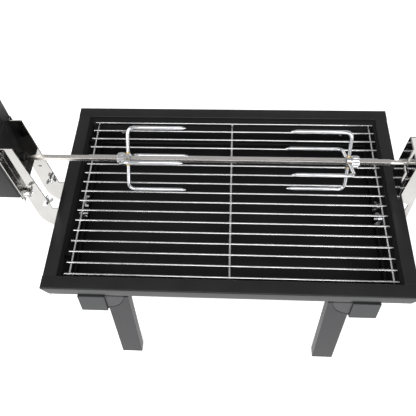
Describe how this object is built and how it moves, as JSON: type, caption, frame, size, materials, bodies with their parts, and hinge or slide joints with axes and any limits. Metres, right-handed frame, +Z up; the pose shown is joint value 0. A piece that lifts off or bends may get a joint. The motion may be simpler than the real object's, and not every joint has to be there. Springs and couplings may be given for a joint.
{
  "type": "rotisserie spit roaster",
  "caption": "Charcoal spit roaster: black tray on splayed legs, chrome grate, forked spit turned by a geared motor at one end.",
  "frame": {"origin": "on the ground under the middle of the whole roaster", "axes": "+X along the spit from the motor to the handle, +Y to the back, +Z up"},
  "size_m": [0.956, 0.4996, 0.458],
  "materials": {
    "black_enamel": "satin",
    "grey_paint": "satin powder coat",
    "chrome": "bright",
    "stainless": "polished",
    "zinc": "bright zinc",
    "black_plastic": "matt",
    "brass": "satin",
    "white_nylon": "satin",
    "cell_wrap": "satin"
  },
  "bodies": {
    "frame": {"tray": "black_enamel", "motor_plate": "black_enamel", "left_wall_rivet": "black_enamel", "right_wall_rivet": "black_enamel", "front_left_leg_socket": "black_plastic", "front_left_socket_screw": "zinc", "front_right_leg_socket": "black_plastic", "front_right_socket_screw": "zinc", "rear_left_leg_socket": "black_plastic", "rear_left_socket_screw": "zinc", "rear_right_leg_socket": "black_plastic", "rear_right_socket_screw": "zinc", "left_wall_plate": "stainless", "left_side_plate_front": "stainless", "left_side_plate_rear": "stainless", "right_upright": "stainless", "bracket_bolt_front": "zinc", "bracket_bolt_rear": "zinc", "left_wall_bolt_front": "zinc", "left_wall_bolt_middle": "zinc", "right_wall_bolt_front": "zinc", "right_wall_bolt_middle": "zinc", "idler_pin": "zinc", "motor_can": "zinc", "motor_case": "black_plastic", "motor_rear_cover": "black_plastic", "output_bush": "brass", "battery_cell_1": "cell_wrap", "battery_cell_2": "cell_wrap"},
    "front_left_leg": {"front_left_leg": "grey_paint", "front_left_foot": "black_plastic"},
    "front_right_leg": {"front_right_leg": "grey_paint", "front_right_foot": "black_plastic"},
    "rear_left_leg": {"rear_left_leg": "grey_paint", "rear_left_foot": "black_plastic"},
    "rear_right_leg": {"rear_right_leg": "grey_paint", "rear_right_foot": "black_plastic"},
    "grate": {"grate": "chrome"},
    "left_wing_nut_front": {"left_wing_nut_front": "zinc"},
    "left_wing_nut_middle": {"left_wing_nut_middle": "zinc"},
    "right_wing_nut_front": {"right_wing_nut_front": "zinc"},
    "right_wing_nut_middle": {"right_wing_nut_middle": "zinc"},
    "battery_door": {"battery_door": "black_plastic"},
    "power_switch": {"power_switch": "black_plastic"},
    "left_thumbscrew": {"left_thumbscrew": "zinc"},
    "right_thumbscrew": {"right_thumbscrew": "zinc"},
    "drive": {"output_gear": "white_nylon", "output_shaft": "zinc", "drive_hub": "zinc"},
    "idler": {"idler_gear": "white_nylon"},
    "rotor": {"motor_pinion": "brass"},
    "spit": {"spit_rod": "stainless", "stop_collar": "zinc", "handle_ferrule": "stainless", "spit_handle": "black_plastic"},
    "left_fork": {"left_fork": "chrome", "left_fork_collar": "chrome"},
    "right_fork": {"right_fork": "chrome", "right_fork_collar": "chrome"}
  },
  "joints": [
    {"name": "drive_spin", "type": "hinge", "parent": "frame", "child": "drive", "pos_m": [-0.3823, 0, 0.329], "axis": [1, 0, 0], "continuous": true},
    {"name": "idler_spin", "type": "hinge", "parent": "frame", "child": "idler", "pos_m": [-0.408, 0, 0.359], "axis": [1, 0, 0], "continuous": true},
    {"name": "rotor_spin", "type": "hinge", "parent": "frame", "child": "rotor", "pos_m": [-0.408, -0.02819, 0.34874], "axis": [1, 0, 0], "continuous": true},
    {"name": "spit_pull", "type": "slide", "parent": "drive", "child": "spit", "axis": [1, 0, 0], "range_m": [0, 0.02]},
    {"name": "left_fork_slide", "type": "slide", "parent": "spit", "child": "left_fork", "axis": [1, 0, 0], "range_m": [-0.08, 0.05]},
    {"name": "right_fork_slide", "type": "slide", "parent": "spit", "child": "right_fork", "axis": [1, 0, 0], "range_m": [-0.05, 0.05]},
    {"name": "left_thumbscrew_turn", "type": "hinge", "parent": "left_fork", "child": "left_thumbscrew", "pos_m": [-0.1903, 0.00311, 0.31741], "axis": [0, 0.2588, -0.9659], "continuous": true},
    {"name": "right_thumbscrew_turn", "type": "hinge", "parent": "right_fork", "child": "right_thumbscrew", "pos_m": [0.2153, 0.00311, 0.31741], "axis": [0, 0.2588, -0.9659], "continuous": true},
    {"name": "grate_lift", "type": "slide", "parent": "frame", "child": "grate", "axis": [0, 0, 1], "range_m": [0, 0.03]},
    {"name": "left_wing_nut_front_turn", "type": "hinge", "parent": "frame", "child": "left_wing_nut_front", "pos_m": [-0.2997, -0.024, 0.176], "axis": [1, 0, 0], "continuous": true},
    {"name": "left_wing_nut_middle_turn", "type": "hinge", "parent": "frame", "child": "left_wing_nut_middle", "pos_m": [-0.2997, 0.005, 0.176], "axis": [1, 0, 0], "continuous": true},
    {"name": "right_wing_nut_front_turn", "type": "hinge", "parent": "frame", "child": "right_wing_nut_front", "pos_m": [0.2997, -0.024, 0.176], "axis": [1, 0, 0], "continuous": true},
    {"name": "right_wing_nut_middle_turn", "type": "hinge", "parent": "frame", "child": "right_wing_nut_middle", "pos_m": [0.2997, 0.005, 0.176], "axis": [1, 0, 0], "continuous": true},
    {"name": "battery_door_pull", "type": "slide", "parent": "frame", "child": "battery_door", "axis": [-1, 0, 0], "range_m": [0, 0.02]},
    {"name": "power_switch_rock", "type": "hinge", "parent": "frame", "child": "power_switch", "pos_m": [-0.475, 0, 0.364], "axis": [0, 1, 0], "range_deg": [-6, 6]},
    {"name": "front_left_leg_pull", "type": "slide", "parent": "frame", "child": "front_left_leg", "axis": [1, 0, 0], "range_m": [0, 0.045]},
    {"name": "front_right_leg_pull", "type": "slide", "parent": "frame", "child": "front_right_leg", "axis": [-1, 0, 0], "range_m": [0, 0.045]},
    {"name": "rear_left_leg_pull", "type": "slide", "parent": "frame", "child": "rear_left_leg", "axis": [1, 0, 0], "range_m": [0, 0.045]},
    {"name": "rear_right_leg_pull", "type": "slide", "parent": "frame", "child": "rear_right_leg", "axis": [-1, 0, 0], "range_m": [0, 0.045]}
  ],
  "couplings": [
    {"joint": "idler_spin", "follows": "drive_spin", "ratio": -3},
    {"joint": "rotor_spin", "follows": "drive_spin", "ratio": 9}
  ]
}
